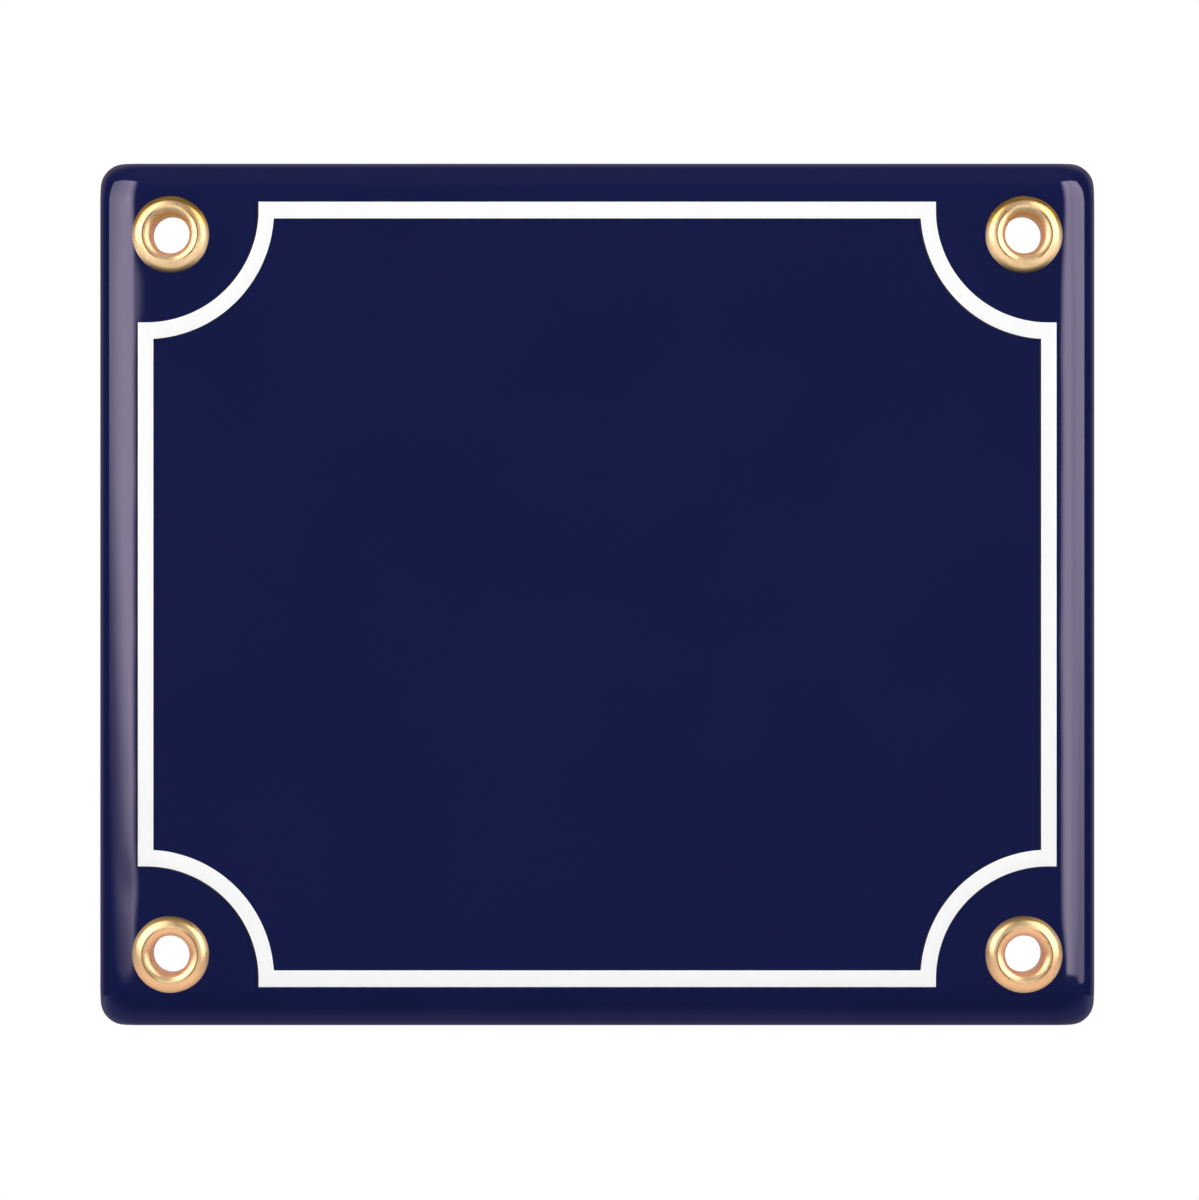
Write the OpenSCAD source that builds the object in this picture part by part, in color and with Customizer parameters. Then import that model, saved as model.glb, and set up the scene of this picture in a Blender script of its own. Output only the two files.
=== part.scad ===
// House number plaque: a pressed and enamelled steel plate with a white line and four brass eyelets.
// Millimetres. X is the width, Z is up, and the face looks along -Y, with the wall at +Y.
// The origin is the centre of the four fixing holes, in the plane of the flat blue face.

/* [Plate] */
// Width of the plate over its rolled edges
plate_w = 150; // [110:1:240]
// Height of the plate over its rolled edges
plate_h = 130; // [110:1:200]
// Thickness of the sheet, steel with enamel on both sides
sheet_t = 1.6; // [1:0.1:2.2]

/* [Rolled edge] */
// How far in from the outline the face starts to roll back
roll_w = 6.2; // [5:0.1:7]
// Radius of the roll, on the face side
roll_r = 7.5; // [7.2:0.1:12]
// Small radius where the roll turns into the straight skirt
edge_r = 1; // [0.4:0.1:1.6]
// Straight skirt behind the roll, down to the wall
skirt_h = 0.7; // [0.4:0.1:3]

/* [White line] */
// Width of the line
line_w = 2.5; // [1.5:0.1:3.5]
// Distance of the line's centre from the outline
line_inset = 7.35; // [6:0.05:9]
// Radius of the concave corners, at the line's centre
line_corner_r = 18.1; // [15:0.1:24]
// How far the white enamel stands proud of the blue
line_proud = 0.12; // [0.04:0.02:0.3]
// How deep the white enamel is seated in the blue
line_seat = 0.14; // [0.06:0.02:0.3]

/* [Eyelets] */
// Bore of the eyelet, which takes the screw
bore_d = 5.7; // [4.6:0.1:6.2]
// Outer diameter of the domed flange
flange_d = 11.6; // [10.6:0.1:12.6]
// Height of the dome above the face
dome_h = 1.4; // [1:0.1:1.8]
// Radius with which the dome turns into the bore
mouth_r = 1.3; // [0.9:0.1:1.5]
// Thickness of the brass
brass_t = 0.4; // [0.3:0.05:0.6]
// Gap between the eyelet's barrel and the hole in the plate
barrel_gap = 0.15; // [0.05:0.05:0.4]
// How far the barrel's rear end is flared out, which keeps the eyelet in its hole
flare_r = 0.75; // [0.7:0.05:1.2]
// Gap between the barrel's rear end and the wall
wall_gap = 0.3; // [0.1:0.1:1]
// Distance of the holes from the outline
hole_inset = 11; // [10.6:0.1:14]

/* [Hidden] */
EYELETS = [
    ["eyelet_top_left", -1, 1],
    ["eyelet_top_right", 1, 1],
    ["eyelet_bottom_left", -1, -1],
    ["eyelet_bottom_right", 1, -1]
];

$fn = 96;

// Steps along the large and the small arc of the roll
ROLL_STEPS = 9;
EDGE_STEPS = 3;
// How far a cut runs past the surface that it opens
PAST = 1;

// Angle at which the large arc hands over to the small one, and the drop at the skirt
turn_a = asin((roll_w - edge_r) / (roll_r - edge_r));
roll_drop = roll_r * (1 - cos(turn_a)) + edge_r * cos(turn_a);
plate_depth = roll_drop + skirt_h;

// The back of the roll keeps the large arc's centre, so that the sheet has one thickness
back_r = roll_r - sheet_t;
back_a = asin((roll_w - sheet_t) / back_r);

bore_r = bore_d / 2;
barrel_r = bore_r + brass_t;
crown_r = bore_r + mouth_r;
// The dome's outer side is one arc from the crown down to the flange's rim
dome_w = flange_d / 2 - crown_r;
dome_r = (dome_w * dome_w + dome_h * dome_h) / (2 * dome_h);
// The barrel goes on behind the sheet nearly to the wall, so that a screw can't bend the plate
flare_start = plate_depth - wall_gap - flare_r;
hole_x = plate_w / 2 - hole_inset;
hole_y = plate_h / 2 - hole_inset;

// The pieces are drawn face up, with the flat face at height 0, and then stood up against the wall
module stand_up() {
    rotate([90, 0, 0])
        children();
}

// The roll's section, as [distance out from where it starts, drop below the flat face]

function face_roll() = concat(
    [for (i = [0:ROLL_STEPS])
        let (a = turn_a * i / ROLL_STEPS)
        [roll_r * sin(a), roll_r * (1 - cos(a))]],
    [for (i = [1:EDGE_STEPS])
        let (a = turn_a + (90 - turn_a) * i / EDGE_STEPS)
        [roll_w - edge_r + edge_r * sin(a), roll_drop - edge_r * cos(a)]]
);

function back_roll() = [
    for (i = [0:ROLL_STEPS])
        let (a = back_a * i / ROLL_STEPS)
        [back_r * sin(a), sheet_t + back_r * (1 - cos(a))]
];

// A whole section across the plate, from one edge to the other
function across(span, roll) = concat(
    [for (i = [len(roll) - 1:-1:0]) [roll_w - span / 2 - roll[i][0], roll[i][1]]],
    [for (p = roll) [span / 2 - roll_w + p[0], p[1]]]
);

// A solid under a sheet that is rolled back along all four edges. The drops of the two directions add up,
// as they do when a sheet is pressed, so the corners are smooth and turn down further than the sides.
module pressed_block(roll, floor_z) {
    sx = across(plate_w, roll);
    sy = across(plate_h, roll);
    nx = len(sx);
    ny = len(sy);
    top = [for (p = sx, q = sy) [p[0], q[0], roll[0][1] - p[1] - q[1]]];
    base = [for (i = [0, nx - 1], j = [0, ny - 1]) [sx[i][0], sy[j][0], floor_z]];
    b = nx * ny;
    polyhedron(
        points = concat(top, base),
        faces = concat(
            [for (i = [0:nx - 2], j = [0:ny - 2])
                [i * ny + j, i * ny + j + 1, (i + 1) * ny + j + 1, (i + 1) * ny + j]],
            [concat([b, b + 1], [for (j = [ny - 1:-1:0]) j])],
            [concat([b + 3, b + 2], [for (j = [0:ny - 1]) (nx - 1) * ny + j])],
            [concat([b], [for (i = [0:nx - 1]) i * ny], [b + 2])],
            [concat([b + 3], [for (i = [nx - 1:-1:0]) i * ny + ny - 1], [b + 1])],
            [[b, b + 2, b + 3, b + 1]]
        ),
        convexity = 4
    );
}

// The white line: straight bars along the four sides, joined by a concave quarter ring at each corner
module line_shape() {
    corner_x = plate_w / 2 - line_inset;
    corner_y = plate_h / 2 - line_inset;
    ring_r = line_corner_r - line_w / 2;
    // The bars end square where the quarter rings start
    for (s = [-1, 1]) {
        translate([0, s * corner_y])
            square([2 * (corner_x - ring_r), line_w], center = true);
        translate([s * corner_x, 0])
            square([line_w, 2 * (corner_y - ring_r)], center = true);
    }
    intersection() {
        square([2 * corner_x, 2 * corner_y], center = true);
        for (sx = [-1, 1], sy = [-1, 1])
            translate([sx * corner_x, sy * corner_y])
                difference() {
                    circle(r = ring_r + line_w);
                    circle(r = ring_r);
                }
    }
}

module at_hole(sx, sy) {
    translate([sx * hole_x, sy * hole_y, 0])
        children();
}

// The pressed sheet: open at the back, seated for the white line, and drilled for the eyelets
module enamel_plate() {
    floor_z = -2 * roll_drop - PAST;
    color([0.09, 0.11, 0.28])
        stand_up()
            difference() {
                pressed_block(face_roll(), floor_z);
                pressed_block(back_roll(), floor_z - PAST);
                translate([-plate_w, -plate_h, floor_z - 2 * PAST])
                    cube([2 * plate_w, 2 * plate_h, -plate_depth - floor_z + 2 * PAST]);
                translate([0, 0, -line_seat])
                    linear_extrude(line_seat + PAST)
                        line_shape();
                for (e = EYELETS)
                    at_hole(e[1], e[2])
                        translate([0, 0, -sheet_t - PAST])
                            cylinder(r = barrel_r + barrel_gap, h = sheet_t + 2 * PAST);
            }
}

module white_border() {
    color([0.98, 0.98, 0.97])
        stand_up()
            translate([0, 0, -line_seat])
                linear_extrude(line_seat + line_proud)
                    line_shape();
}

// A bent strip of brass: the part of a ring of the eyelet's sheet that lies inside a box
module brass_arc(centre, r, box_from, box_size) {
    intersection() {
        translate(centre)
            difference() {
                circle(r = r);
                circle(r = r - brass_t);
            }
        translate(box_from)
            square(box_size);
    }
}

// Half section of an eyelet, with the radius along X and the height above the face along Y
module eyelet_section() {
    // Outer side of the dome, from the crown down to the rim, which stands on the face
    brass_arc([crown_r, dome_h - dome_r], dome_r, [crown_r, 0], [2 * dome_r, dome_h + PAST]);
    // Inner side of the dome, from the crown into the bore
    brass_arc([crown_r, dome_h - mouth_r], mouth_r, [bore_r, dome_h - mouth_r], [mouth_r, mouth_r]);
    // Barrel through the sheet
    translate([bore_r, -flare_start])
        square([brass_t, flare_start + dome_h - mouth_r]);
    // Flared rear end
    brass_arc([bore_r + flare_r, -flare_start], flare_r,
              [bore_r, -flare_start - flare_r], [flare_r, flare_r]);
}

module eyelet(sx, sy) {
    color([0.80, 0.62, 0.36])
        stand_up()
            at_hole(sx, sy)
                rotate_extrude()
                    eyelet_section();
}

enamel_plate();
white_border();
for (e = EYELETS)
    eyelet(e[1], e[2]);
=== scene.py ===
import math

import bpy
import numpy as np
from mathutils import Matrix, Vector
from mathutils.geometry import delaunay_2d_cdt

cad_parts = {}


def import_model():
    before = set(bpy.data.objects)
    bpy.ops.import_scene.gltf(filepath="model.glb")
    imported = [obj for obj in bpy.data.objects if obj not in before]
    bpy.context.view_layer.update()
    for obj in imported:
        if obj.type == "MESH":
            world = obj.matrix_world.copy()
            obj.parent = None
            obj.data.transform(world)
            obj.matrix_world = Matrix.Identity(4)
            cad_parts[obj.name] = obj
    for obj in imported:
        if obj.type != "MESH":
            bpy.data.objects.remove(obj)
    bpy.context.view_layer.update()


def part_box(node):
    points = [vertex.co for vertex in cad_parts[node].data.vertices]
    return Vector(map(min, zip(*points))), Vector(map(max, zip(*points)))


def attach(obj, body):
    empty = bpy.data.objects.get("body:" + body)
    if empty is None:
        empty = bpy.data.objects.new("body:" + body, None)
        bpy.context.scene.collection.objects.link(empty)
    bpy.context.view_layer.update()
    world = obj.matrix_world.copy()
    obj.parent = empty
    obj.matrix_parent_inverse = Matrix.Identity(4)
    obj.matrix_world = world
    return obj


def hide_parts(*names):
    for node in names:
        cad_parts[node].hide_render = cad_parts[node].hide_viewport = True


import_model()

# All shapes are worked out in millimetres, in the frame's axes, and scaled to metres when they become meshes
MM = 0.001

# What the frame gives
plate_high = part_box("enamel_plate")[1] / MM
line_low, line_high = [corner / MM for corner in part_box("white_border")]
HALF_W, DEPTH, HALF_H = plate_high.x, plate_high.y, plate_high.z
LINE_HALF_W, LINE_HALF_H = line_high.x, line_high.z
LINE_FRONT, LINE_SEAT = line_low.y, line_high.y

# The pressed plate: the sheet and its roll are those of the solid
SHEET = 1.6
ROLL_W = 6.2
ROLL_R = 7.5
EDGE_R = 1.0
FLAT_X = HALF_W - ROLL_W
FLAT_Z = HALF_H - ROLL_W
# Finer than the solid: the tight bend on the back, and the rounding of the rear rim
INNER_EDGE_R = 0.3
RIM_ROUND = 0.45

# The white line
LINE_W = 2.5
LINE_RING_R = 18.1
LINE_EDGE_ROUND = 0.07
# The stencil left the upright bars a little narrower than the level ones
LINE_SIDE_TRIM = 0.18
# On the left and below, the seat reaches past the white, and the black hairline left there is a painted
# shadow of the white line
PAINTED_SHADOW_X = 0.25
PAINTED_SHADOW_Z = 0.12
# A side that turns left or down by less than this counts as not turned there
LEVEL_ENOUGH = 1e-6

# The eyelets
BORE_R = 2.85
MOUTH_R = 1.3
CROWN_R = BORE_R + MOUTH_R
DOME_H = 1.4
BRASS_T = 0.4
FLARE_R = 0.75
# The holes in the plate that they are set in
HOLE_R = 3.4

EYELETS = {
    "eyelet_top_left": (-1, 1),
    "eyelet_top_right": (1, 1),
    "eyelet_bottom_left": (-1, -1),
    "eyelet_bottom_right": (1, -1),
}

# The signs of the plate's quarters, counter-clockwise as seen from the front
QUARTERS = ((1, 1), (-1, 1), (-1, -1), (1, -1))


def arc(centre, radius, start, stop, steps):
    """Points on a circle's arc, with both ends, and angles in degrees."""
    return [
        (centre[0] + radius * math.cos(a), centre[1] + radius * math.sin(a))
        for a in np.radians(np.linspace(start, stop, steps + 1))
    ]


def smooth_step(x, low, high):
    """0 below low, 1 above high, and an even curve between them."""
    t = min(max((x - low) / (high - low), 0.0), 1.0)
    return t * t * (3 - 2 * t)


def make_piece(name, points, faces, materials, face_material=None, sharp=40):
    """A mesh object from points in millimetres, smooth apart from edges sharper than the angle."""
    mesh = bpy.data.meshes.new(name)
    mesh.from_pydata([tuple(c * MM for c in p) for p in points], [], faces)
    for material in materials:
        mesh.materials.append(material)
    if face_material is not None:
        mesh.polygons.foreach_set("material_index", face_material)
    mesh.polygons.foreach_set("use_smooth", [True] * len(mesh.polygons))
    mesh.set_sharp_from_angle(angle=math.radians(sharp))
    mesh.validate()
    mesh.update()
    piece = bpy.data.objects.new(name, mesh)
    bpy.context.scene.collection.objects.link(piece)
    return piece


# Flat outlines

# Points closer together than this are taken for one
MERGE_WITHIN = 1e-7


def triangulate(loops):
    """Fills the plane inside closed loops of 2-D points. Returns the points, counter-clockwise triangles, and
    where each loop's own points are among the points."""
    points = [tuple(p) for loop in loops for p in loop]
    edges, start = [], 0
    for loop in loops:
        edges += [(start + i, start + (i + 1) % len(loop)) for i in range(len(loop))]
        start += len(loop)
    out, _, triangles, origins, _, _ = delaunay_2d_cdt(points, edges, [], 0, MERGE_WITHIN)
    out = np.array([tuple(p) for p in out])
    place = {}
    for index, inputs in enumerate(origins):
        for i in inputs:
            place[i] = index
    turned = []
    for a, b, c in triangles:
        ab, ac = out[b] - out[a], out[c] - out[a]
        turned.append((a, b, c) if ab[0] * ac[1] > ab[1] * ac[0] else (a, c, b))
    where, start = [], 0
    for loop in loops:
        where.append([place[start + i] for i in range(len(loop))])
        start += len(loop)
    return out, turned, where


def inside(p, loop):
    """Whether a 2-D point is inside a closed loop."""
    a = np.asarray(loop)
    b = np.roll(a, -1, axis=0)
    crosses = (a[:, 1] > p[1]) != (b[:, 1] > p[1])
    a, b = a[crosses], b[crosses]
    crossed_at = a[:, 0] + (p[1] - a[:, 1]) / (b[:, 1] - a[:, 1]) * (b[:, 0] - a[:, 0])
    return np.count_nonzero(p[0] < crossed_at) % 2 == 1


def outward(loop):
    """The direction out of a counter-clockwise loop at each of its points, as long as it takes to move the
    sides by 1."""
    a = np.asarray(loop)
    before, after = a - np.roll(a, 1, axis=0), np.roll(a, -1, axis=0) - a
    sides = [
        np.stack([d[:, 1], -d[:, 0]], axis=1) / np.linalg.norm(d, axis=1)[:, None]
        for d in (before, after)
    ]
    total = sides[0] + sides[1]
    return total / (1 + np.sum(sides[0] * sides[1], axis=1))[:, None]


def line_loops(steps=40):
    """The white line's outer and inner edges, counter-clockwise."""
    corner_x, corner_z = LINE_HALF_W - LINE_W / 2, LINE_HALF_H - LINE_W / 2
    near, far = LINE_RING_R - LINE_W / 2, LINE_RING_R + LINE_W / 2
    # Where the ring's far side runs into the inner edges of the bars
    meet = math.degrees(math.asin(LINE_W / 2 / far))
    outer, inner = [], []
    for sx, sz in QUARTERS:
        out = [(LINE_HALF_W, corner_z - near)]
        out += arc((corner_x, corner_z), near, 270, 180, steps)
        out += [(corner_x - near, LINE_HALF_H)]
        inn = arc((corner_x, corner_z), far, 270 - meet, 180 + meet, steps)
        if sx * sz < 0:
            out, inn = out[::-1], inn[::-1]
        outer += [(sx * x, sz * z) for x, z in out]
        inner += [(sx * x, sz * z) for x, z in inn]
    inner = [(x + LINE_SIDE_TRIM * way[0], z) for (x, z), way in zip(inner, outward(inner))]
    return outer, inner


def divided(loop, longest=1.0):
    """A closed loop with its long sides divided, so that they can follow a curved face."""
    points = []
    for (x, z), (to_x, to_z) in zip(loop, loop[1:] + loop[:1]):
        count = math.ceil(math.hypot(to_x - x, to_z - z) / longest)
        points += [(x + (to_x - x) * i / count, z + (to_z - z) * i / count) for i in range(count)]
    return points


# The pressed plate

FRONT = (ROLL_R, EDGE_R, ROLL_W)
BACK = (ROLL_R - SHEET, INNER_EDGE_R, ROLL_W - SHEET)

# Where the press left the roll starting late or early, as [side, place along it, reach, how far]
DENTS = (
    ("right", 58, 7, 0.5),
    ("right", -5, 30, -0.12),
    ("right", -55.5, 5, 0.85),
    ("left", 60, 6, 0.15),
    ("left", 24, 12, -0.12),
    ("left", 0, 12, 0.07),
    ("left", -44, 4, -0.45),
    ("top", -20, 18, 0.2),
    ("top", 34, 15, -0.2),
    ("bottom", 12, 20, 0.2),
    ("bottom", -40, 12, -0.2),
)
# Slow waves along every side, as [height, length, phase]
WAVES = ((0.05, 46, 0.6), (0.03, 23, 2.1), (0.02, 11, 4.0))
# The uneven start fades out between these arc lengths
FADE_FROM, FADE_TO = 1.4, 4.2
# Under the upper left eyelet the face falls away a little before the roll: from where, with what slope there
# and where the roll starts, and at what height and over what reach up and down
FALL_FROM, FALL_SLOPE, FALL_END_SLOPE = -1.25, 0.045, 0.075
FALL_Z, FALL_REACH = 45, 5.5


def roll_arcs(radius, edge, width):
    """The angle at which a roll's large arc hands over to the small one, and the lengths of the two arcs."""
    turn = math.asin((width - edge) / (radius - edge))
    return turn, radius * turn, edge * (math.pi / 2 - turn)


def section(u, radius, edge, width):
    """The roll's section at an arc length from where the roll starts, as [distance out, distance back]."""
    turn, bend, last = roll_arcs(radius, edge, width)
    if u <= 0:
        return u, 0.0
    if u <= bend:
        return radius * math.sin(u / radius), radius * (1 - math.cos(u / radius))
    deep = radius * (1 - math.cos(turn))
    if u <= bend + last:
        a = turn + (u - bend) / edge
        return width - edge + edge * math.sin(a), deep + edge * (math.cos(turn) - math.cos(a))
    return width, deep + edge * math.cos(turn) + u - bend - last


def late_start(side, along):
    """How much further out than drawn the roll starts, at a place along a side."""
    shift = 0.0
    for height, length, phase in WAVES:
        # The length of its name sets each side's waves apart from the others'
        shift += height * math.sin(2 * math.pi * along / length + phase + len(side))
    for name, centre, reach, far in DENTS:
        if name == side:
            shift += far * math.exp(-(((along - centre) / reach) ** 2))
    return shift


def early_fall(u, sx, z):
    """How much deeper the face lies where it falls away before the roll on the left."""
    if sx > 0:
        return 0.0
    before = min(max(u - FALL_FROM, 0.0), -FALL_FROM)
    depth = FALL_SLOPE * before - (FALL_END_SLOPE - FALL_SLOPE) * before**2 / (2 * FALL_FROM)
    # From there on it keeps its slope, until the roll's own is as steep
    after = min(max(u, 0.0), FALL_END_SLOPE * ROLL_R)
    depth += FALL_END_SLOPE * after - after**2 / (2 * ROLL_R)
    share = math.exp(-(((z - FALL_Z) / FALL_REACH) ** 4)) * (1 - smooth_step(u, FADE_FROM, FADE_TO))
    return depth * share


def skin_point(u, v, sx, sz, skin):
    """A point on the sheet's front or back, from the two arc lengths past the starts of the rolls."""
    out_x, back_x = section(u, *skin)
    out_z, back_z = section(v, *skin)
    x, z = sx * (FLAT_X + out_x), sz * (FLAT_Z + out_z)
    if skin is BACK:
        return x, SHEET + back_x + back_z, z
    sides = ("right" if sx > 0 else "left", "top" if sz > 0 else "bottom")
    late_u = late_start(sides[0], z) * (1 - smooth_step(u, FADE_FROM, FADE_TO))
    late_v = late_start(sides[1], x) * (1 - smooth_step(v, FADE_FROM, FADE_TO))
    depth = section(u - late_u, *skin)[1] + section(v - late_v, *skin)[1]
    return x, depth + early_fall(u, sx, z), z


# The rolls are drawn along stations: straight across the sides, and in a fan round each corner. The stations
# start this far inside the flat.
FAN_IN = 2.5
# How many steps they make along half a side, along half the top, and round a corner
SIDE_STEPS, TOP_STEPS, FAN_STEPS = 55, 65, 24
# Where the rings of points lie on the front's flat and at the start of its bend, and on the back's flat
FACE_RINGS = (-1.25, -1.0, -0.6, -0.2, 0.55, 0.8)
BACK_RING = -0.6
# Steps from the last of those rings round the large arc, the small arc and the rim, and along the back's roll
BEND_STEPS, EDGE_STEPS, RIM_STEPS, BACK_STEPS = 18, 6, 5, 16
# Steps of halving that find where a station comes to a depth
HALVINGS = 40


def quarter_stations():
    """Stations from the middle of the right side, round the corner, to the middle of the top, each as
    [u, v, direction of u, direction of v] where it would start."""
    up = [z - FLAT_Z for z in np.linspace(0, FLAT_Z - FAN_IN, SIDE_STEPS + 1)]
    over = [x - FLAT_X for x in np.linspace(FLAT_X - FAN_IN, 0, TOP_STEPS + 1)]
    fan = np.radians(np.linspace(0, 90, FAN_STEPS + 1))[1:-1]
    return (
        [(-FAN_IN, v, 1.0, 0.0) for v in up]
        + [(-FAN_IN, -FAN_IN, math.cos(a), math.sin(a)) for a in fan]
        + [(u, -FAN_IN, 0.0, 1.0) for u in over]
    )


def all_stations():
    """The whole plate's stations with their quarters' signs, counter-clockwise as seen from the front."""
    quarter = quarter_stations()
    turn = []
    for sx, sz in QUARTERS:
        stations = quarter if sx * sz > 0 else quarter[::-1]
        turn += [(*s, sx, sz) for s in stations[:-1]]
    return turn


def along_station(station, t, skin):
    """The point of a skin that is a length t along a station."""
    u, v, du, dv, sx, sz = station
    return skin_point(u + t * du, v + t * dv, sx, sz, skin)


def reach_depth(station, depth, skin):
    """How far along a station the skin comes to a depth."""
    # The upper bound lies past the rim, also where a station crosses a corner
    low, high = 0.0, 4 * ROLL_W
    for _ in range(HALVINGS):
        middle = (low + high) / 2
        if along_station(station, middle, skin)[1] < depth:
            low = middle
        else:
            high = middle
    return high


def rounded(before, corner, after, steps):
    """A curve from one point to another that a corner pulls out, without its first point."""
    a, b, c = np.array(before), np.array(corner), np.array(after)
    shares = np.linspace(0, 1, steps + 1)[1:]
    return [tuple((1 - t) ** 2 * a + 2 * t * (1 - t) * b + t * t * c) for t in shares]


def front_shares():
    """Shares of the way from the last face ring to the rim, at which the front has its rings of points."""
    turn, bend, last = roll_arcs(*FRONT)
    roll_drop = ROLL_R * (1 - math.cos(turn)) + EDGE_R * math.cos(turn)
    start, end = FACE_RINGS[-1], bend + last + DEPTH - RIM_ROUND - roll_drop
    marks = [*np.linspace(start, bend, BEND_STEPS + 1)]
    marks += [*np.linspace(bend, bend + last, EDGE_STEPS + 1)[1:], end]
    return [(m - start) / (end - start) for m in marks]


def outline_points(station):
    """A station's points from the last face ring over the front, round the rim and up the back."""
    start = FAN_IN + FACE_RINGS[-1]
    end = reach_depth(station, DEPTH - RIM_ROUND, FRONT)
    points = [along_station(station, start + s * (end - start), FRONT) for s in front_shares()]
    outer = np.array(along_station(station, reach_depth(station, DEPTH, FRONT), FRONT))
    inner = np.array(along_station(station, reach_depth(station, DEPTH, BACK), BACK))
    back_end = reach_depth(station, DEPTH - RIM_ROUND, BACK)
    inward = (inner - outer) / np.linalg.norm(inner - outer) * RIM_ROUND
    points += rounded(points[-1], outer, outer + inward, RIM_STEPS)
    points += [tuple(inner - inward)]
    points += rounded(inner - inward, inner, along_station(station, back_end, BACK), RIM_STEPS)
    shares = np.linspace(1, 0, BACK_STEPS + 1)[1:]
    return points + [along_station(station, FAN_IN + s * (back_end - FAN_IN), BACK) for s in shares]


def ring_loop(stations, mark, skin):
    """The closed loop that a ring makes, as seen from the front."""
    return [along_station(s, FAN_IN + mark, skin)[::2] for s in stations]


def face_depth(x, z):
    """How far back the front of the plate is at a point inside the last face ring."""
    u, v = abs(x) - FLAT_X, abs(z) - FLAT_Z
    return skin_point(u, v, math.copysign(1, x), math.copysign(1, z), FRONT)[1]


def hole_loop(sx, sz, steps=64):
    """The edge of the hole that an eyelet is set in."""
    low, high = [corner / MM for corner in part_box("eyelet_top_right")]
    centre = (sx * (low.x + high.x) / 2, sz * (low.z + high.z) / 2)
    return arc(centre, HOLE_R, 0, 360, steps)[:-1]


def in_hole(p, holes):
    """Whether a 2-D point is inside one of the holes, given by their edges."""
    return any(np.linalg.norm(p - np.mean(hole, axis=0)) < HOLE_R for hole in holes)


def seat_loops():
    """The edges of the black strip that holds the white line, and shows beside it on the left and below as
    its painted shadow.
    """
    loops = []
    for loop, sign in zip(line_loops(), (1, -1)):
        side = outward(loop) * sign
        moved = [
            (x - PAINTED_SHADOW_X * (way_x < -LEVEL_ENOUGH), z - PAINTED_SHADOW_Z * (way_z < -LEVEL_ENOUGH))
            for (x, z), (way_x, way_z) in zip(loop, side)
        ]
        loops.append(divided(moved))
    return loops


# The plate's materials, by their numbers on its faces
# The second is the black of the painted shadow beside the white line
BLUE, PAINTED_SHADOW, COAT = 0, 1, 2


class Shell:
    """The points and faces of one closed mesh, with the number of each face's material."""

    def __init__(self):
        self.points, self.faces, self.kinds = [], [], []

    def place(self, points):
        """Adds points and returns their numbers."""
        first = len(self.points)
        self.points += points
        return list(range(first, len(self.points)))

    def face(self, kind, *corners):
        self.faces.append(corners)
        self.kinds.append(kind)

    def without_spares(self):
        """The points that some face uses, and the faces by those points' new numbers."""
        used = sorted({i for face in self.faces for i in face})
        order = {old: new for new, old in enumerate(used)}
        return [self.points[i] for i in used], [tuple(order[i] for i in face) for face in self.faces]


def plate_face(shell, stations, holes):
    """The face, down to the last ring that is a plain height over the plane, with the white line's seat sunk
    into it. Returns the last ring's points and those of the holes' edges."""
    seat_outer, seat_inner = seat_loops()
    rings = [ring_loop(stations, mark, FRONT) for mark in FACE_RINGS]
    flat, triangles, where = triangulate(rings + holes + [seat_outer, seat_inner])
    top = shell.place([(x, face_depth(x, z), z) for x, z in flat])
    floor = shell.place([(x, LINE_SEAT, z) for x, z in flat])
    kept = {}
    for triangle in triangles:
        centre = flat[list(triangle)].mean(axis=0)
        if in_hole(centre, holes):
            continue
        seated = inside(centre, seat_outer) and not inside(centre, seat_inner)
        level = floor if seated else top
        shell.face(PAINTED_SHADOW if seated else BLUE, *[level[i] for i in triangle])
        for a, b in zip(triangle, triangle[1:] + triangle[:1]):
            kept[a, b] = seated
    # The seat's walls
    for (a, b), seated in kept.items():
        if not seated and kept.get((b, a)):
            shell.face(PAINTED_SHADOW, top[a], floor[a], floor[b], top[b])
    edges = [[top[i] for i in loop] for loop in where]
    return edges[len(rings) - 1], edges[len(rings):len(rings) + len(holes)]


def plate_roll(shell, stations, last_ring):
    """The roll, the rim and the roll's back, along the stations. Returns the points where the back's flat
    starts."""
    columns = [
        [first] + shell.place(outline_points(station)[1:])
        for station, first in zip(stations, last_ring)
    ]
    front_count = len(front_shares()) - 1 + RIM_STEPS
    for left, right in zip(columns, columns[1:] + columns[:1]):
        for i in range(len(left) - 1):
            kind = BLUE if i < front_count else COAT
            shell.face(kind, left[i], left[i + 1], right[i + 1], right[i])
    return [column[-1] for column in columns]


def plate_back(shell, stations, back_ring, holes):
    """The flat of the back. Returns the points of the holes' edges."""
    edge = [(shell.points[i][0], shell.points[i][2]) for i in back_ring]
    support = ring_loop(stations, BACK_RING, BACK)
    flat, triangles, where = triangulate([edge, support] + holes)
    under = shell.place([(x, SHEET, z) for x, z in flat])
    for index, known in zip(where[0], back_ring):
        under[index] = known
    for triangle in triangles:
        if not in_hole(flat[list(triangle)].mean(axis=0), holes):
            shell.face(COAT, *[under[i] for i in triangle[::-1]])
    return [[under[i] for i in loop] for loop in where[2:]]


def enamel_plate(blue, shadow_material, back_coat):
    """The whole pressed sheet as one closed mesh: face, roll, rim, back, holes, and the white line's seat."""
    stations = all_stations()
    holes = [hole_loop(*signs) for signs in EYELETS.values()]
    shell = Shell()
    last_ring, front_edges = plate_face(shell, stations, holes)
    back_ring = plate_roll(shell, stations, last_ring)
    back_edges = plate_back(shell, stations, back_ring, holes)
    # The walls of the holes
    for front_edge, back_edge in zip(front_edges, back_edges):
        pairs = list(zip(front_edge, back_edge))
        for (a, c), (b, d) in zip(pairs, pairs[1:] + pairs[:1]):
            shell.face(COAT, b, d, c, a)
    points, faces = shell.without_spares()
    materials = [blue, shadow_material, back_coat]
    piece = make_piece("enamel_plate_fired", points, faces, materials, shell.kinds, sharp=35)
    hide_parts("enamel_plate")
    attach(piece, "root")


# The white line


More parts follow.
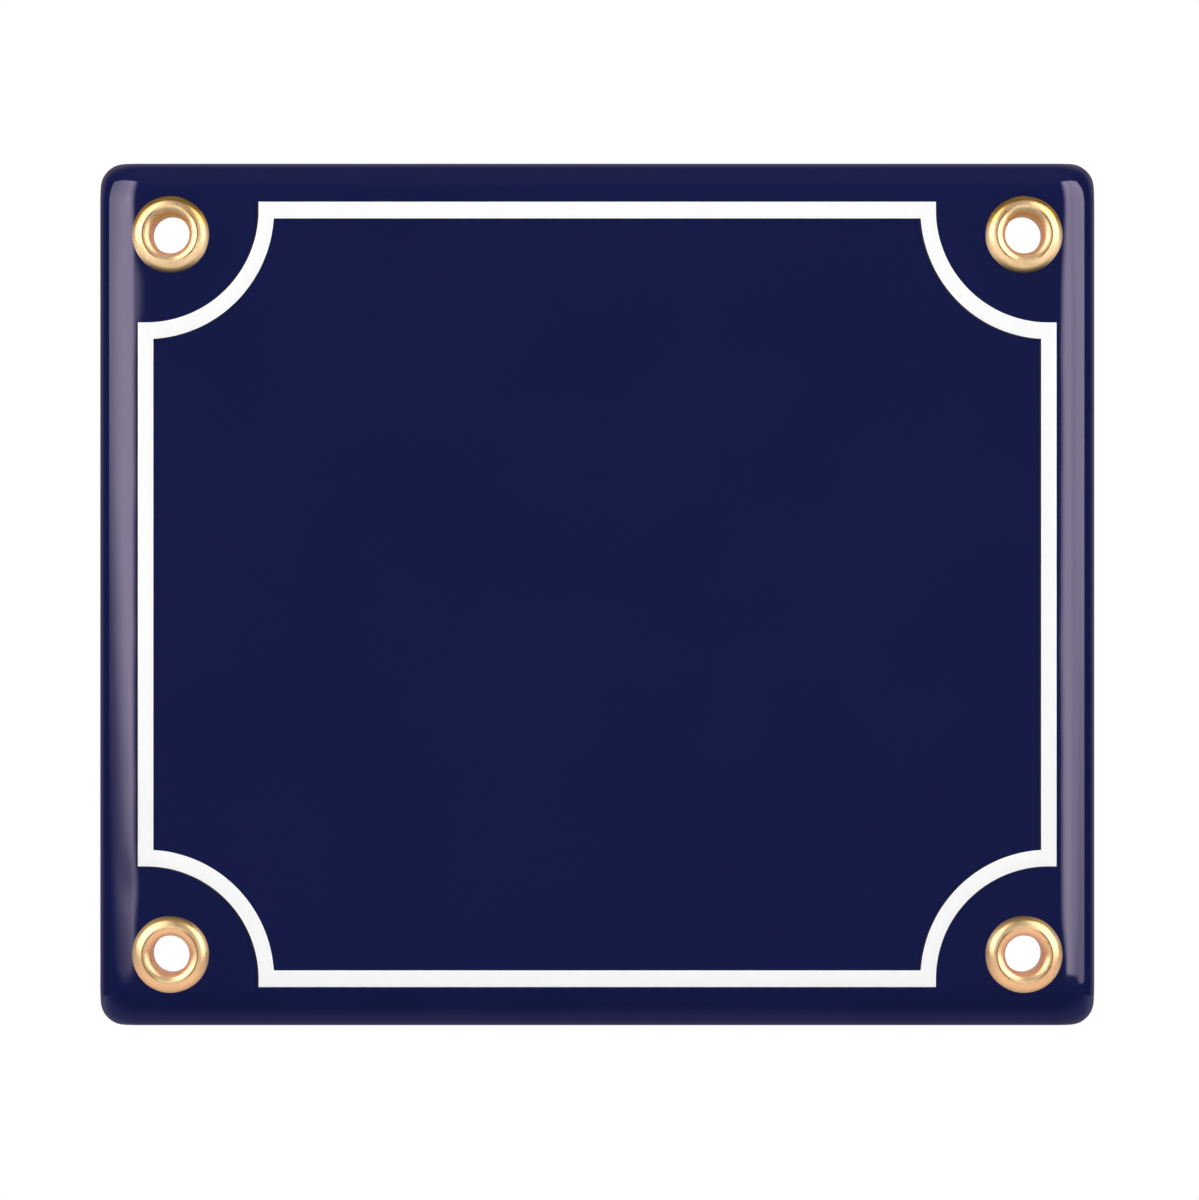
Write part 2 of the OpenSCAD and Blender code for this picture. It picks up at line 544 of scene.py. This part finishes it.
def white_border(white):
    """The band of white enamel, with softly rounded upper edges."""
    # From the foot in the seat up to the rounding, and over it to the flat, as [depth, in from the edge]
    rows = [(LINE_SEAT, 0.0)]
    for a in np.radians((0, 30, 60, 90)):
        rows.append((LINE_FRONT + LINE_EDGE_ROUND * (1 - math.sin(a)), LINE_EDGE_ROUND * (1 - math.cos(a))))
    points, faces, walls = [], [], []
    for loop, sign in zip(line_loops(), (1, -1)):
        side = outward(loop) * sign
        levels = []
        for depth, in_from_edge in rows:
            levels.append([len(points) + i for i in range(len(loop))])
            points += [(x, depth, z) for x, z in np.array(loop) - side * in_from_edge]
        for low, high in zip(levels, levels[1:]):
            for i in range(len(loop)):
                j = (i + 1) % len(loop)
                corners = (low[i], high[i], high[j], low[j])
                faces.append(corners[::-1] if sign > 0 else corners)
        walls.append(levels)
    outer, inner = walls
    # The flat on top, and the flat underneath, which faces the other way
    for row, turned in ((-1, False), (0, True)):
        rims = [[(points[i][0], points[i][2]) for i in levels[row]] for levels in walls]
        flat, triangles, where = triangulate(rims)
        known = dict(zip(where[0] + where[1], outer[row] + inner[row]))
        for triangle in triangles:
            centre = flat[list(triangle)].mean(axis=0)
            if inside(centre, rims[0]) and not inside(centre, rims[1]):
                corners = tuple(known[i] for i in triangle)
                faces.append(corners[::-1] if turned else corners)
    piece = make_piece("white_line_fired", points, faces, [white])
    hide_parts("white_border")
    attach(piece, "root")


# The eyelets

# The rim is turned under, as [in from the rim, height], and the dome's arc starts this many degrees above it
RIM_TURN = ((0.12, 0.0), (0.02, 0.02))
RIM_ANGLE = 4
# The crown is a fine ridge: its slope either side, how far that takes to die away, and the heights above the
# foot over which it comes in
RIDGE_SLOPE = 0.22
RIDGE_REACH = 0.7
RIDGE_FADE = (0.0, 0.6)
# The angles at which the flared end stops on its outer and its inner side
FLARE_OUTER_END, FLARE_INNER_END = 268, 266

# Steps round an eyelet
AROUND = 128
# A punched flange is out of round by a few lobes, each of a height in this range, and it rises by a share of
# what it moves out. The bore stays true, so both grow over a width, and they stop behind these two depths.
LOBES = (2, 3, 5, 7)
LOBE_FROM, LOBE_TO = 0.004, 0.014
WANDER_W = 2.5
WANDER_DEPTH, RISE_DEPTH = 0.2, -0.05
RISE = 0.8

# What the brass looks like at each point of an eyelet, painted light and shade among it, as shares from 0 to
# 1
MARKS = ("bore", "crease", "matt_painted_glow", "worn", "rim")
# Their strengths and spans follow. A span _R is of radius. Spans _UP, _DOWN and _SIDE are of the sine or the
# cosine of the angle round the eyelet, so that 1 is its top, its foot or its sides.

# A painted reddish reflection and shade in the bore. Behind the plate only what lies this close to the bore
# has it, not the barrel's outside.
BORE_SKIN, BORE_SPAN_R = 0.05, (BORE_R + 0.1, BORE_R + 0.95)
# The painted dark reflection along the crown's crease, in front of a depth, and the smoothed ridge where that
# fades at the top and the bottom
CREASE_W, CREASE_BELOW, CREASE_LEAST, CREASE_SIDE = 0.1, 0.5, 0.1, (0.3, 0.75)
SMOOTHED_W, SMOOTHED = 0.2, 0.7
# A painted warm glow on the lower eyelets where they look down, which also makes them matt, and changes over
# this width at the crown
TURN_W, PAINTED_GLOW_DOWN = 0.4, (-0.25, 0.75)
# Painted shade on the rim of the lower eyelets, and of the upper ones at the top and at the foot. The upper
# ones have painted shade in the mouth's top and on the shoulders too.
LOWER_RIM, LOWER_RIM_R, LOWER_RIM_UP = 0.62, (4.7, 5.35), (0.35, 0.95)
UPPER_TOP_R, UPPER_TOP_UP = (4.65, 5.25), (0.0, 0.5)
UPPER_FOOT, UPPER_FOOT_R, UPPER_FOOT_DOWN = 0.7, (4.95, 5.6), (0.65, 1.0)
UPPER_MOUTH_IN, UPPER_MOUTH_UP = (0.7, 1.1), (0.2, 0.9)
SHOULDER, SHOULDER_OFF, SHOULDER_SPAN = 0.3, 0.1, (0.25, 0.5)
# The upper eyelets are worn low down outside the crown, and less towards the foot and right at the bottom
WORN_W, WORN_DOWN = 0.3, (-0.15, 0.5)
WORN_FOOT_R, WORN_FOOT_DOWN = (4.95, 5.4), (0.4, 0.9)
WORN_LOW, WORN_LOW_DOWN = 0.4, (0.75, 1.0)


def eyelet_section(rim_r, rear):
    """The closed section of an eyelet, as [radius, depth], starting at the rim and going over the dome."""
    dome_w = rim_r - CROWN_R
    dome_r = (dome_w**2 + DOME_H**2) / (2 * DOME_H)
    foot = math.degrees(math.asin((dome_r - DOME_H) / dome_r))
    inner_foot = math.degrees(math.asin((dome_r - DOME_H) / (dome_r - BRASS_T)))
    dome = (CROWN_R, DOME_H - dome_r)
    mouth = (CROWN_R, DOME_H - MOUTH_R)
    flare = (BORE_R + FLARE_R, FLARE_R - rear)
    profile = [(rim_r - inward, height) for inward, height in RIM_TURN]
    over = arc(dome, dome_r, foot + RIM_ANGLE, 90, 22) + arc(mouth, MOUTH_R, 90, 180, 18)[1:]
    for r, h in over:
        off = abs(r - CROWN_R)
        ridge = RIDGE_SLOPE * off * math.exp(-off / RIDGE_REACH) * smooth_step(h, *RIDGE_FADE)
        profile.append((r, h - ridge))
    profile += [(BORE_R, h) for h in np.linspace(mouth[1], flare[1], 8)[1:-1]]
    profile += arc(flare, FLARE_R, 180, FLARE_OUTER_END, 10)
    profile += arc(flare, FLARE_R - BRASS_T, FLARE_INNER_END, 180, 8)
    profile += arc(mouth, MOUTH_R - BRASS_T, 180, 90, 8)
    profile += arc(dome, dome_r - BRASS_T, 90, inner_foot, 10)[1:]
    return [(r, -h) for r, h in profile]


def eyelet_marks(r, depth, a, lower):
    """How much of each of MARKS a point of an eyelet shows, at an angle from the right over the top."""
    up, off_crown = math.sin(a), r - CROWN_R
    # The barrel's outside, behind the plate, is plain
    seen = depth < MOUTH_R - DOME_H or r < BORE_R + BORE_SKIN
    bore = seen * (1 - smooth_step(r, *BORE_SPAN_R))
    # The crease's painted dark reflection fades at the top and at the bottom
    sharp = smooth_step(abs(math.cos(a)), *CREASE_SIDE)
    smoothed = SMOOTHED * (1 - sharp) * math.exp(-((off_crown / SMOOTHED_W) ** 2))
    crease = math.exp(-((off_crown / CREASE_W) ** 2)) * (depth < CREASE_BELOW - DOME_H)
    crease *= CREASE_LEAST + (1 - CREASE_LEAST) * sharp
    # The side of the dome and the side of the mouth that look down, where the lower eyelets get a painted
    # warm glow
    down = -up * min(max(off_crown / TURN_W, -1.0), 1.0)
    matt_painted_glow = smooth_step(down, *PAINTED_GLOW_DOWN) * lower
    # Painted shade on the rims, and on the upper eyelets in the mouth's top and on the shoulders
    if lower:
        painted_shade = LOWER_RIM * smooth_step(r, *LOWER_RIM_R) * smooth_step(up, *LOWER_RIM_UP)
        worn = matt_painted_glow
    else:
        above = smooth_step(r, *UPPER_TOP_R) * smooth_step(up, *UPPER_TOP_UP)
        below = UPPER_FOOT * smooth_step(r, *UPPER_FOOT_R) * smooth_step(-up, *UPPER_FOOT_DOWN)
        inner = smooth_step(-off_crown, *UPPER_MOUTH_IN) * smooth_step(up, *UPPER_MOUTH_UP)
        shoulder = SHOULDER * smooth_step(up * abs(math.cos(a)), *SHOULDER_SPAN)
        shoulder *= r > CROWN_R + SHOULDER_OFF
        painted_shade = min(above + below + inner + shoulder, 1.0)
        foot = smooth_step(r, *WORN_FOOT_R) * smooth_step(-up, *WORN_FOOT_DOWN)
        worn = smooth_step(-up, *WORN_DOWN) * smooth_step(r, CROWN_R, CROWN_R + WORN_W)
        worn *= (1 - foot) * (1 - WORN_LOW * smooth_step(-up, *WORN_LOW_DOWN))
    return bore, crease, matt_painted_glow, max(worn, smoothed), painted_shade * (1 - matt_painted_glow)


def eyelet(name, brass, seed):
    """One brass eyelet, turned from its section, a little out of round as a punched one is."""
    low, high = [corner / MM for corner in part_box(name)]
    centre = (low + high) / 2
    profile = eyelet_section((high.x - low.x) / 2, high.y)
    lower = EYELETS[name][1] < 0
    rng = np.random.default_rng(seed)
    wobble = [(k, rng.uniform(LOBE_FROM, LOBE_TO), rng.uniform(0, 2 * math.pi)) for k in LOBES]
    points, marks = [], []
    for i in range(AROUND):
        a = 2 * math.pi * i / AROUND
        out = sum(size * math.sin(k * a + phase) for k, size, phase in wobble)
        for r, depth in profile:
            free = smooth_step(r, BORE_R, BORE_R + WANDER_W) * (depth < WANDER_DEPTH)
            radius = r + out * free
            points.append((
                centre.x + radius * math.cos(a),
                depth + RISE * out * free * (depth < RISE_DEPTH),
                centre.z + radius * math.sin(a),
            ))
            marks.append(eyelet_marks(r, depth, a, lower))
    rows = len(profile)
    faces = []
    for i in range(AROUND):
        a, b = i * rows, (i + 1) % AROUND * rows
        for j in range(rows):
            k = (j + 1) % rows
            faces.append((a + j, b + j, b + k, a + k))
    piece = make_piece(name + "_turned", points, faces, [brass])
    for mark, values in zip(MARKS, zip(*marks)):
        piece.data.attributes.new(mark, "FLOAT", "POINT").data.foreach_set("value", values)
    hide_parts(name)
    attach(piece, "root")


# Materials


class Nodes:
    """Short names for what the materials below add to a node tree."""

    def __init__(self, tree):
        self.tree = tree

    def add(self, kind, **settings):
        node = self.tree.nodes.new("ShaderNode" + kind)
        for key, value in settings.items():
            setattr(node, key, value)
        return node

    def link(self, source, target):
        self.tree.links.new(source, target)

    def put(self, value, socket):
        """Links an output to a socket, or sets the socket to a plain value."""
        if isinstance(value, bpy.types.NodeSocket):
            self.link(value, socket)
        else:
            socket.default_value = value

    def math(self, operation, a, b=0.0, c=0.0):
        node = self.add("Math", operation=operation)
        for value, socket in zip((a, b, c), node.inputs):
            self.put(value, socket)
        return node.outputs[0]

    def product(self, *values):
        """All the values multiplied."""
        result, *rest = values
        for value in rest:
            result = self.math("MULTIPLY", result, value)
        return result

    def span(self, value, low, high, to_low=0.0, to_high=1.0):
        """An even curve from to_low, where the value is low, to to_high, where it is high."""
        node = self.add("MapRange", interpolation_type="SMOOTHSTEP")
        for v, socket in zip((value, low, high, to_low, to_high), node.inputs):
            self.put(v, socket)
        return node.outputs[0]

    def mix(self, share, a, b):
        """The colour a with a share of the colour b."""
        node = self.add("Mix", data_type="RGBA")
        self.put(share, node.inputs["Factor"])
        for value, name in ((a, "A"), (b, "B")):
            socket = next(s for s in node.inputs if s.name == name and s.type == "RGBA")
            self.put(value if isinstance(value, bpy.types.NodeSocket) else (*value, 1.0), socket)
        return next(s for s in node.outputs if s.type == "RGBA")

    def place(self):
        """The place on the object, in metres."""
        return self.add("TexCoord").outputs["Object"]

    def xyz(self, vector):
        """The three parts of a vector."""
        node = self.add("SeparateXYZ")
        self.link(vector, node.inputs[0])
        return node.outputs

    def noise(self, scale, detail, rough=0.5):
        """Noise from 0 to 1, with its scale in waves a metre."""
        node = self.add("TexNoise")
        self.link(self.place(), node.inputs["Vector"])
        for name, value in (("Scale", scale), ("Detail", detail), ("Roughness", rough)):
            node.inputs[name].default_value = value
        return node.outputs["Fac"]

    def specks(self, spacing, size, share):
        """Round specks of a size in millimetres, in a share of cells of a spacing."""
        node = self.add("TexVoronoi", feature="F1")
        self.link(self.place(), node.inputs["Vector"])
        node.inputs["Scale"].default_value = 1 / (spacing * MM)
        chosen = self.add("SeparateColor")
        self.link(node.outputs["Color"], chosen.inputs[0])
        near = self.span(node.outputs["Distance"], size / spacing, 0.4 * size / spacing)
        return self.math("MULTIPLY", near, self.math("LESS_THAN", chosen.outputs[0], share))

    def bump(self, height, strength, distance, after=None):
        """A normal from a height of a distance in millimetres, on top of the bump that comes before it."""
        node = self.add("Bump")
        self.put(height, node.inputs["Height"])
        node.inputs["Strength"].default_value = strength
        node.inputs["Distance"].default_value = distance * MM
        if after is not None:
            self.link(after, node.inputs["Normal"])
        return node.outputs["Normal"]


def material(name):
    """A new material, its node helper and its shader."""
    made = bpy.data.materials.new(name)
    made.use_nodes = True
    shader = next(n for n in made.node_tree.nodes if n.type == "BSDF_PRINCIPLED")
    return made, Nodes(made.node_tree), shader


def bare_nodes(made):
    """The node helper of a material or a world, with nothing in its tree."""
    made.use_nodes = True
    made.node_tree.nodes.clear()
    return Nodes(made.node_tree)


def blue_enamel():
    """Deep cobalt glass, which draws thin and brown over the edge of the sheet."""
    made, n, shader = material("cobalt_enamel")
    deep, lighter, edge = (0.0076, 0.0107, 0.0585), (0.0081, 0.0113, 0.0630), (0.0260, 0.0145, 0.0220)
    dust_colour = (0.30, 0.32, 0.42)
    # The ragged line, by its depth, over which the enamel draws thin
    ragged_by, thin_from, thin_to = 0.8 * MM, 3.3 * MM, 4.4 * MM
    blue = n.mix(n.span(n.noise(40, 2), 0.35, 0.65), deep, lighter)
    ragged = n.math("MULTIPLY_ADD", n.noise(900, 3), ragged_by, n.xyz(n.place())["Y"])
    thin = n.span(ragged, thin_from, thin_to)
    dust = n.specks(spacing=11.0, size=0.12, share=0.16)
    colour = n.mix(n.product(dust, 0.2), n.mix(thin, blue, edge), dust_colour)
    n.put(colour, shader.inputs["Base Color"])
    n.put(n.span(thin, 0, 1, 0.05, 0.2), shader.inputs["Roughness"])
    shader.inputs["IOR"].default_value = 1.75
    shader.inputs["Specular Tint"].default_value = (0.91, 0.77, 1.0, 1.0)
    slow = n.bump(n.noise(45, 1), strength=0.4, distance=0.06)
    skin = n.bump(n.noise(330, 2), strength=0.5, distance=0.004, after=slow)
    n.put(n.bump(dust, strength=0.5, distance=0.02, after=skin), shader.inputs["Normal"])
    return made


def painted_shadow_line():
    """The black in the hairline beside the white, a painted shadow of the white line on the left and below.
    """
    made, n, shader = material("black_painted_shadow")
    black, lighter = (0.002, 0.002, 0.003), (0.006, 0.006, 0.010)
    n.put(n.mix(n.noise(1500, 2), black, lighter), shader.inputs["Base Color"])
    shader.inputs["Roughness"].default_value = 0.5
    shader.inputs["IOR"].default_value = 1.5
    return made


def back_enamel():
    """The thinner, darker coat behind, mottled where it was dipped."""
    made, n, shader = material("back_ground_coat")
    dark, pale, pit_colour = (0.0060, 0.0070, 0.0160), (0.0170, 0.0190, 0.0340), (0.05, 0.05, 0.06)
    mottle = n.span(n.noise(160, 5, 0.65), 0.35, 0.7)
    pits = n.specks(spacing=2.4, size=0.16, share=0.35)
    colour = n.mix(n.product(pits, 0.5), n.mix(mottle, dark, pale), pit_colour)
    n.put(colour, shader.inputs["Base Color"])
    n.put(n.span(mottle, 0, 1, 0.16, 0.30), shader.inputs["Roughness"])
    shader.inputs["IOR"].default_value = 1.55
    slow = n.bump(n.noise(90, 3), strength=0.7, distance=0.08)
    n.put(n.bump(pits, strength=0.6, distance=0.03, after=slow), shader.inputs["Normal"])
    return made


def white_enamel():
    """White glass with a faint unevenness and a little dust."""
    made, n, shader = material("white_enamel_fired")
    darker, paler, dust_colour = (0.92, 0.92, 0.915), (0.94, 0.94, 0.935), (0.5, 0.5, 0.52)
    dust = n.specks(spacing=7.0, size=0.10, share=0.08)
    colour = n.mix(n.product(dust, 0.3), n.mix(n.noise(140, 3), darker, paler), dust_colour)
    n.put(colour, shader.inputs["Base Color"])
    n.put(n.span(n.noise(400, 2), 0.3, 0.7, 0.08, 0.14), shader.inputs["Roughness"])
    shader.inputs["IOR"].default_value = 1.55
    n.put(n.bump(n.noise(500, 2), strength=0.4, distance=0.006), shader.inputs["Normal"])
    return made


def brass():
    """Yellow brass off a tumbled finish, matt where it is worn, with painted light and shade: a reddish
    reflection in the bore, a dark one along the crease, a warm glow where the lower eyelets look down, and
    shade on the rims.
    """
    made, n, shader = material("tumbled_brass")
    bore, crease, matt_painted_glow, worn, rim = [n.add("Attribute", attribute_name=m).outputs["Fac"] for m in MARKS]
    yellow, tarnished = (0.97, 0.68, 0.38), (0.80, 0.47, 0.21)
    painted_glow_colour, painted_bore_reflection = (1.0, 0.55, 0.28), (0.82, 0.45, 0.25)
    painted_rim_shade, painted_crease_reflection = (0.76, 0.45, 0.12), (0.26, 0.11, 0.03)
    tarnish = n.product(n.span(n.noise(2400, 3, 0.6), 0.45, 0.7), 0.5)
    colour = n.mix(tarnish, yellow, tarnished)
    # Painted light and shade: a warm glow where the lower eyelets look down, a reddish reflection in the
    # bore, shade on the rims and a dark reflection along the crease
    colour = n.mix(n.product(matt_painted_glow, 0.9), colour, painted_glow_colour)
    colour = n.mix(bore, colour, painted_bore_reflection)
    colour = n.mix(rim, colour, painted_rim_shade)
    colour = n.mix(crease, colour, painted_crease_reflection)
    n.put(colour, shader.inputs["Base Color"])
    # Where the metal is worn, and down in the bore, a share of plain colour stands for what it scatters
    plain = n.math("MAXIMUM", n.product(worn, 1.35), n.product(bore, 0.4))
    metal = n.math("SUBTRACT", n.span(rim, 0, 1, 0.72, 0.94), n.product(plain, 0.5))
    n.put(metal, shader.inputs["Metallic"])
    n.put(n.span(n.noise(900, 2), 0.3, 0.7, 0.27, 0.34), shader.inputs["Roughness"])
    shader.inputs["Specular Tint"].default_value = (1.0, 0.76, 0.52, 1.0)
    grain = n.bump(n.noise(2600, 3), strength=0.6, distance=0.012)
    pits = n.specks(spacing=0.6, size=0.06, share=0.06)
    n.put(n.bump(pits, strength=0.2, distance=-0.01, after=grain), shader.inputs["Normal"])
    return made


# The stage

CAMERA_PLACE = (0.34, -600, -0.84)
CAMERA_LENS, CAMERA_SENSOR = 120, 36
CAMERA_CLIP = (0.01, 20)

# The two tall panels stand in front, left and right, and are turned to face the plaque. Each is given by its
# inner and its outer edge.
PANEL_IN_X, PANEL_IN_Y = 163, -470
PANEL_OUT_X, PANEL_OUT_Y = 466, -50
PANEL_TOP_IN, PANEL_TOP_OUT = 735, 385
PANEL_FOOT = {"left": (-95, -85.5), "right": (-105.6, -93.5)}
PANEL_STRENGTH = 3.2
PANEL_COLOUR = (1.0, 0.985, 0.97)

# Soft lights that only the colours below the gloss take up, as [centre, width, height, strength]
FILLS = {
    "front_fill": ((-10, -1000, -10), 900, 700, 4.72),
    "top_fill": ((0, -150, 1000), 700, 500, 5.0),
    "low_fill": ((0, -700, -900), 600, 400, 5.4),
    "left_fill": ((-1000, 0, 150), 700, 700, 3.0),
    "right_fill": ((1000, 0, 150), 700, 700, 3.0),
    "back_fill": ((150, 1000, 450), 900, 700, 5.0),
}

# The floor lies this far below the plaque. To the plaque it is a dim blue, brighter behind in two steps, each
# given by where along Y it starts and is full, and by its strength.
FLOOR_BELOW = 185
FLOOR_WIDE, FLOOR_FRONT, FLOOR_BACK = 700, -160, 900
FLOOR_COLOUR = (0.62, 0.68, 1.0)
FLOOR_NEAR, FLOOR_FAR = (-160, 40, 0.24), (10, 140, 0.35)


def camera():
    """Straight on, from the distance at which the eyelets' bores show as they do in the photograph."""
    lens = bpy.data.cameras.new("camera")
    lens.lens, lens.sensor_width = CAMERA_LENS, CAMERA_SENSOR
    lens.clip_start, lens.clip_end = CAMERA_CLIP
    holder = bpy.data.objects.new("camera", lens)
    holder.location = [c * MM for c in CAMERA_PLACE]
    holder.rotation_euler = (math.pi / 2, 0, 0)
    bpy.context.scene.collection.objects.link(holder)
    bpy.context.scene.camera = holder


def stage_plane(name, corners, made):
    """A flat sheet of the stage, with its corners in millimetres."""
    mesh = bpy.data.meshes.new(name)
    mesh.from_pydata([tuple(c * MM for c in p) for p in corners], [], [tuple(range(len(corners)))])
    mesh.materials.append(made)
    piece = bpy.data.objects.new(name, mesh)
    bpy.context.scene.collection.objects.link(piece)
    return piece


def light_material(name, colour, strength, pattern=None):
    """A glowing sheet. The pattern takes the helper, the share of the way across a panel and the height in
    millimetres, and gives a share of the strength."""
    made = bpy.data.materials.new(name)
    n = bare_nodes(made)
    glow = n.add("Emission")
    glow.inputs["Color"].default_value = (*colour, 1.0)
    glow.inputs["Strength"].default_value = strength
    if pattern is not None:
        place = n.xyz(n.place())
        from_in = n.math("SUBTRACT", n.math("ABSOLUTE", place["X"]), PANEL_IN_X * MM)
        across = n.math("DIVIDE", from_in, (PANEL_OUT_X - PANEL_IN_X) * MM)
        height = n.math("DIVIDE", place["Z"], MM)
        n.put(n.product(pattern(n, across, height), strength), glow.inputs["Strength"])
    n.link(glow.outputs[0], n.add("OutputMaterial").inputs["Surface"])
    return made


def left_pattern(n, across, height):
    """Soft towards the middle of the stage, and dying away low down, soonest on the outside."""
    slant, band_at, band_w = -135.0, 0.34, 0.16
    inner = n.span(across, 0.0, 0.26)
    outer = n.span(across, 0.45, 1.0, 1.0, 0.55)
    # It dies away in two steps, by a height that sinks towards the outside
    fall = n.math("MULTIPLY_ADD", across, slant, height)
    low = n.math("ADD", n.span(fall, -140, -50, 0.0, 0.65), n.span(fall, -210, -90, 0.0, 0.35))
    high = n.span(height, 90, 330, 1.0, 0.8)
    lit = n.product(inner, outer, low, high)
    # High up it is a little brighter along a band towards the middle
    off_band = n.math("ABSOLUTE", n.math("SUBTRACT", across, band_at))
    band = n.product(n.span(off_band, 0.0, band_w, 0.22, 0.0), n.span(height, 85, 130))
    return n.math("MULTIPLY_ADD", lit, band, lit)


def right_pattern(n, across, height):
    """Two lobes, of which the outer is the weaker, most of all low down."""
    dip_at, dip_w = 0.57, 0.14
    inner = n.span(across, 0.08, 0.36)
    off_dip = n.math("ABSOLUTE", n.math("SUBTRACT", across, dip_at))
    dip = n.span(off_dip, 0.0, dip_w, 0.84, 1.0)
    outer = n.product(n.span(across, 0.52, 0.80), n.span(height, -100, 40, 0.5, 0.1))
    high = n.span(height, 90, 330, 1.0, 1.1)
    end = n.span(across, 0.93, 0.97, 1.0, 0.0)
    return n.product(inner, dip, high, end, n.math("SUBTRACT", 0.94, outer))


def panels():
    """The panels that the enamel and the brass mirror. They don't light the colours below the gloss."""
    for name, side, pattern in (("left", -1, left_pattern), ("right", 1, right_pattern)):
        foot_in, foot_out = PANEL_FOOT[name]
        corners = [
            (side * PANEL_IN_X, PANEL_IN_Y, foot_in),
            (side * PANEL_OUT_X, PANEL_OUT_Y, foot_out),
            (side * PANEL_OUT_X, PANEL_OUT_Y, PANEL_TOP_OUT),
            (side * PANEL_IN_X, PANEL_IN_Y, PANEL_TOP_IN),
        ]
        glow = light_material(name + "_panel", PANEL_COLOUR, PANEL_STRENGTH, pattern)
        panel = stage_plane(name + "_panel", corners, glow)
        panel.visible_camera = False
        panel.visible_shadow = False
        panel.visible_diffuse = False


def fills():
    """The soft lights, each turned to face the plaque."""
    for name, (centre, width, height, strength) in FILLS.items():
        towards = -Vector(centre).normalized()
        side = towards.cross(Vector((0, 0, 1))).normalized() * width / 2
        up = side.cross(towards).normalized() * height / 2
        middle = Vector(centre)
        corners = [middle - side - up, middle + side - up, middle + side + up, middle - side + up]
        light = stage_plane(name, corners, light_material(name, (1.0, 1.0, 1.0), strength))
        light.visible_camera = False
        light.visible_shadow = False
        light.visible_glossy = False


def floor():
    """A pale floor below the plaque: white to the camera, and a dim blue to the plaque."""
    made = bpy.data.materials.new("pale_floor")
    n = bare_nodes(made)
    white, dim, clear = n.add("Emission"), n.add("Emission"), n.add("BsdfTransparent")
    dim.inputs["Color"].default_value = (*FLOOR_COLOUR, 1.0)
    depth = n.xyz(n.place())["Y"]
    steps = [n.span(depth, start * MM, full * MM, 0.0, step) for start, full, step in (FLOOR_NEAR, FLOOR_FAR)]
    n.put(n.math("ADD", *steps), dim.inputs["Strength"])

    def choose(share, first, second):
        mixed = n.add("MixShader")
        for output, socket in zip((share, first.outputs[0], second.outputs[0]), mixed.inputs):
            n.link(output, socket)
        return mixed

    seen = choose(n.add("LightPath").outputs["Is Camera Ray"], dim, white)
    # From below there is nothing
    side = choose(n.add("NewGeometry").outputs["Backfacing"], seen, clear)
    n.link(side.outputs[0], n.add("OutputMaterial").inputs["Surface"])
    wide, height = FLOOR_WIDE, -HALF_H - FLOOR_BELOW
    corners = [(-wide, FLOOR_FRONT), (wide, FLOOR_FRONT), (wide, FLOOR_BACK), (-wide, FLOOR_BACK)]
    stage_plane("floor", [(x, y, height) for x, y in corners], made)


def world():
    """White behind the plaque and to the camera, and a dark room in front of it."""
    made = bpy.data.worlds.new("studio")
    n = bare_nodes(made)
    bpy.context.scene.world = made
    tint, white = (1.0, 0.86, 0.98), (1.0, 1.0, 1.0)
    direction = n.xyz(n.add("TexCoord").outputs["Generated"])
    behind = n.span(direction["Y"], 0.10, 0.45, 0.0, 0.5)
    above = n.span(direction["Z"], 0.55, 1.0, 0.0, 0.06)
    seen = n.add("LightPath").outputs["Is Camera Ray"]
    glow = n.add("Background")
    n.put(n.mix(seen, tint, white), glow.inputs["Color"])
    n.put(n.math("MAXIMUM", n.math("ADD", above, behind), seen), glow.inputs["Strength"])
    n.link(glow.outputs[0], n.add("OutputWorld").inputs["Surface"])


bpy.context.scene.view_settings.view_transform = "Standard"
camera()
panels()
fills()
floor()
world()

enamel_plate(blue_enamel(), painted_shadow_line(), back_enamel())
white_border(white_enamel())
tumbled = brass()
for seed, name in enumerate(EYELETS):
    eyelet(name, tumbled, seed)
